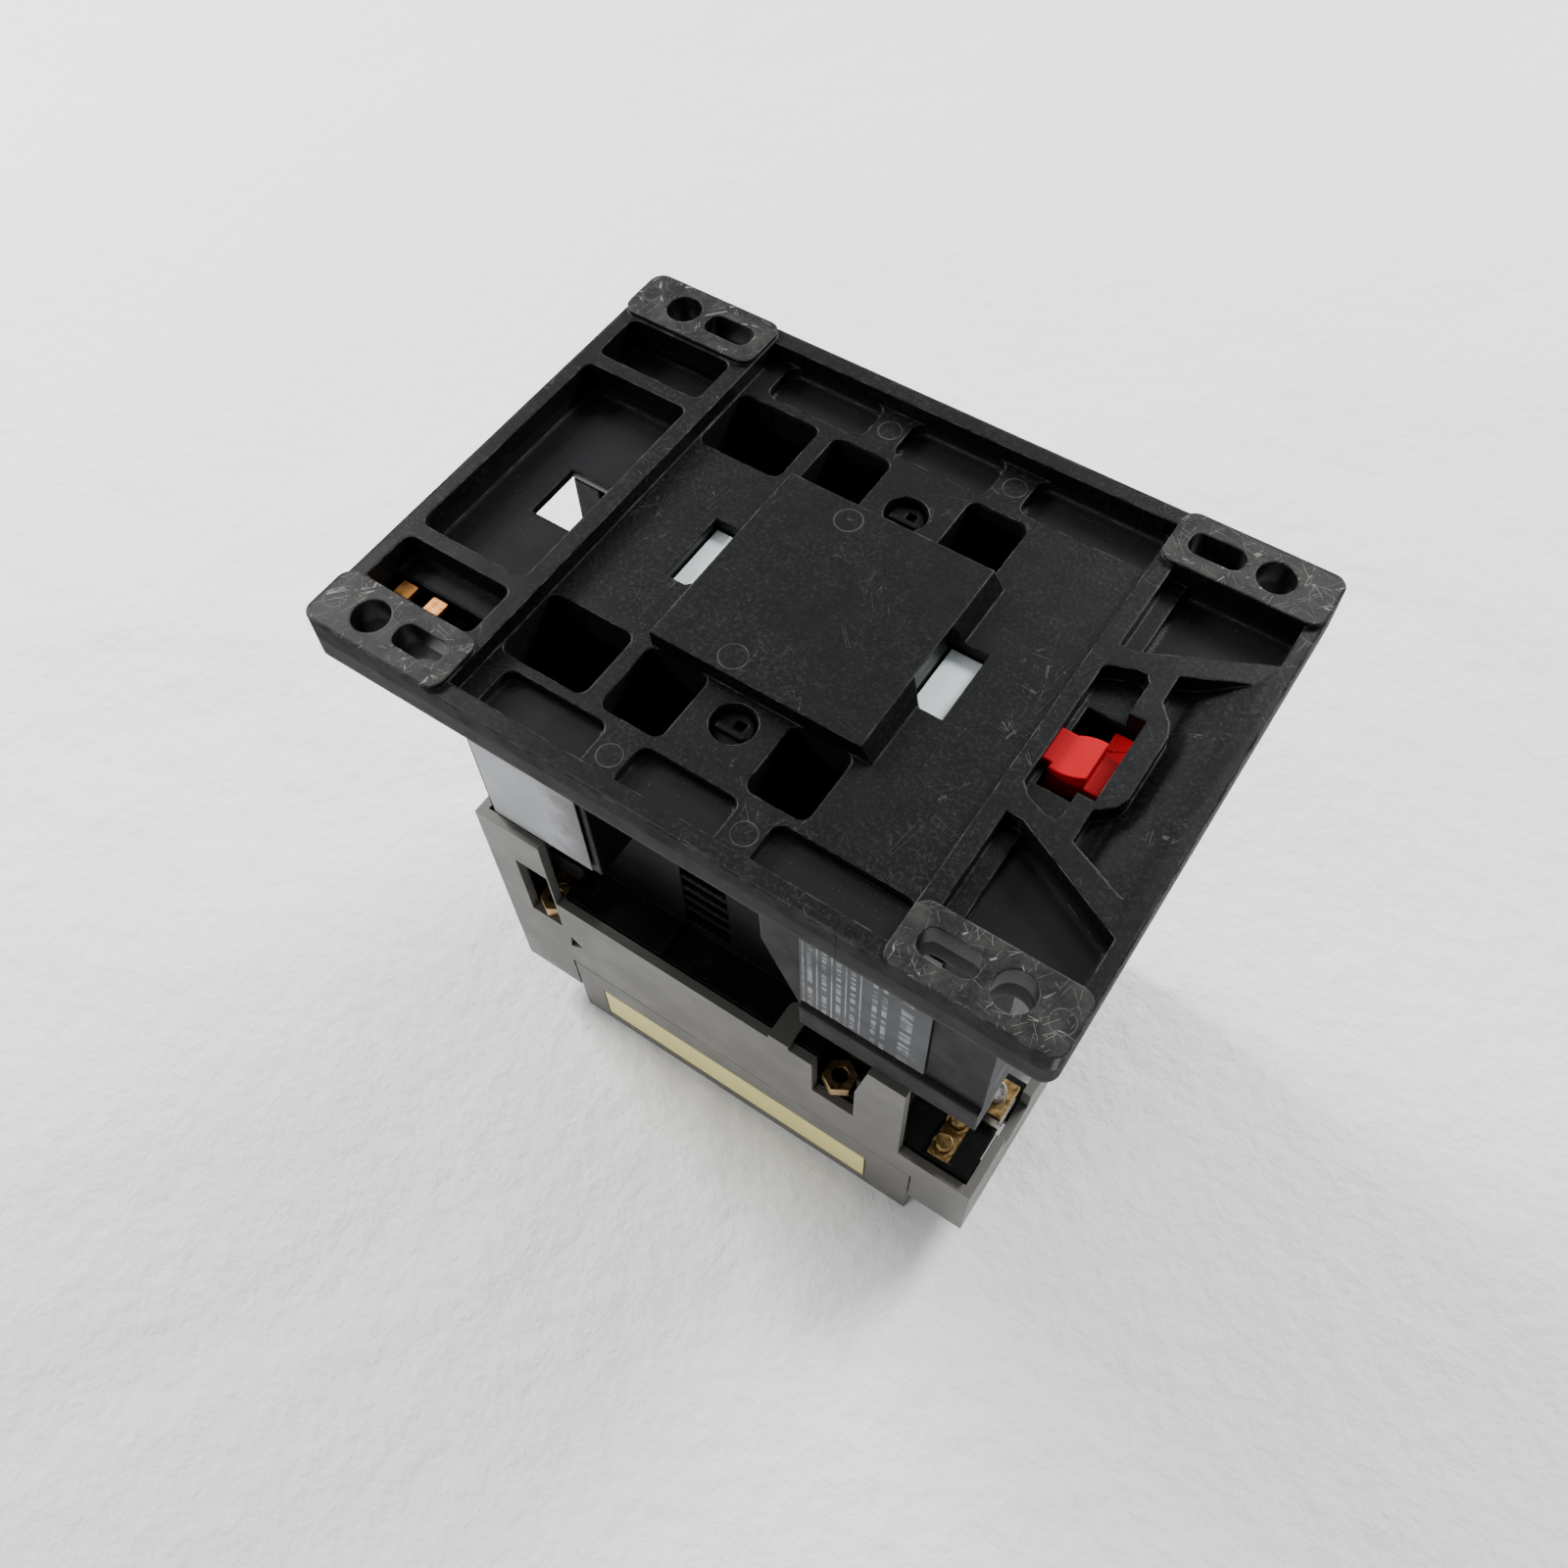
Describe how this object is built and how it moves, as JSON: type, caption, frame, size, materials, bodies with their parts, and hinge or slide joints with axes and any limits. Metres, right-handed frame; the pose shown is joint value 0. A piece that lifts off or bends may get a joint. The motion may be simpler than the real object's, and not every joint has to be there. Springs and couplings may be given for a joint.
{
  "type": "din rail contactor",
  "caption": "Block-shaped magnetic contactor with a pocketed black rear mounting plate, a red rail latch and sliding contact carrier, lying on its front cover.",
  "frame": {"origin": "centre of the bounding box in X and Y, on the plane the front cover rests on", "axes": "+Z out of the rear mounting face, away from the front cover; +X from the line terminals to the load terminals, along the plate's long side; +Y along the rail"},
  "size_m": [0.129, 0.091, 0.13],
  "materials": {
    "black_plastic": "moulded, lightly worn, fine speckle",
    "grey_plastic": "moulded satin",
    "pale_plastic": "moulded satin",
    "red_plastic": "moulded semi-gloss",
    "yellow_plastic": "translucent satin strip",
    "silver_label": "printed silver film",
    "grey_label": "printed grey film",
    "copper": "drawn and lightly tarnished copper alloy",
    "silvered_contact": "silver-faced copper",
    "brass": "stamped and turned brass",
    "steel": "zinc plated"
  },
  "bodies": {
    "base": {"aux_screw_1_1": "brass", "aux_screw_1_2": "brass", "aux_screw_2_1": "brass", "aux_screw_2_2": "brass", "aux_screw_3_1": "brass", "aux_screw_3_2": "brass", "aux_screw_4_1": "brass", "aux_screw_4_2": "brass", "aux_strip_1": "brass", "aux_strip_2": "brass", "aux_strip_3": "brass", "aux_strip_4": "brass", "coil_bobbin": "pale_plastic", "coil_tab_1": "copper", "coil_tab_2": "copper", "coil_terminal_block": "black_plastic", "coil_winding": "copper", "contact_block": "black_plastic", "core_housing": "black_plastic", "fixed_contact_1": "brass", "fixed_contact_2": "brass", "fixed_contact_3": "brass", "fixed_contact_4": "brass", "fixed_contact_5": "brass", "fixed_contact_6": "brass", "fixed_core": "steel", "front_cover": "grey_plastic", "front_housing": "grey_plastic", "hex_nut_1": "brass", "hex_nut_2": "brass", "hex_nut_3": "brass", "hex_nut_4": "brass", "latch_spring": "steel", "marking_strip_1": "yellow_plastic", "marking_strip_2": "yellow_plastic", "plate_stud_1": "black_plastic", "plate_stud_2": "black_plastic", "rating_label": "grey_label", "rear_plate": "black_plastic", "return_spring_1": "steel", "return_spring_2": "steel", "terminal_screw_1": "steel", "terminal_screw_2": "steel", "terminal_screw_3": "steel", "terminal_screw_4": "steel", "terminal_screw_5": "steel", "terminal_screw_6": "steel", "wiring_label": "silver_label"},
    "carrier": {"contact_carrier": "black_plastic", "armature": "steel", "contact_spring_1": "steel", "contact_spring_2": "steel", "contact_spring_3": "steel"},
    "latch": {"din_latch": "red_plastic"},
    "bridge_1": {"bridge_1": "silvered_contact"},
    "bridge_2": {"bridge_2": "silvered_contact"},
    "bridge_3": {"bridge_3": "silvered_contact"}
  },
  "joints": [
    {"name": "carrier_slide", "type": "slide", "parent": "base", "child": "carrier", "axis": [0, 0, 1], "range_m": [0, 0.0041], "stiffness_N_per_m": 800, "springref_m": -0.006, "deforming": ["return_spring_1", "return_spring_2"]},
    {"name": "bridge_slide_1", "type": "slide", "parent": "carrier", "child": "bridge_1", "axis": [0, 0, -1], "range_m": [0, 0.0015], "stiffness_N_per_m": 600, "springref_m": -0.004, "deforming": ["contact_spring_1"]},
    {"name": "bridge_slide_2", "type": "slide", "parent": "carrier", "child": "bridge_2", "axis": [0, 0, -1], "range_m": [0, 0.0015], "stiffness_N_per_m": 600, "springref_m": -0.004, "deforming": ["contact_spring_2"]},
    {"name": "bridge_slide_3", "type": "slide", "parent": "carrier", "child": "bridge_3", "axis": [0, 0, -1], "range_m": [0, 0.0015], "stiffness_N_per_m": 600, "springref_m": -0.004, "deforming": ["contact_spring_3"]},
    {"name": "latch_slide", "type": "slide", "parent": "base", "child": "latch", "axis": [1, 0, 0], "range_m": [0, 0.003], "stiffness_N_per_m": 300, "springref_m": -0.003, "deforming": ["latch_spring"]}
  ]
}
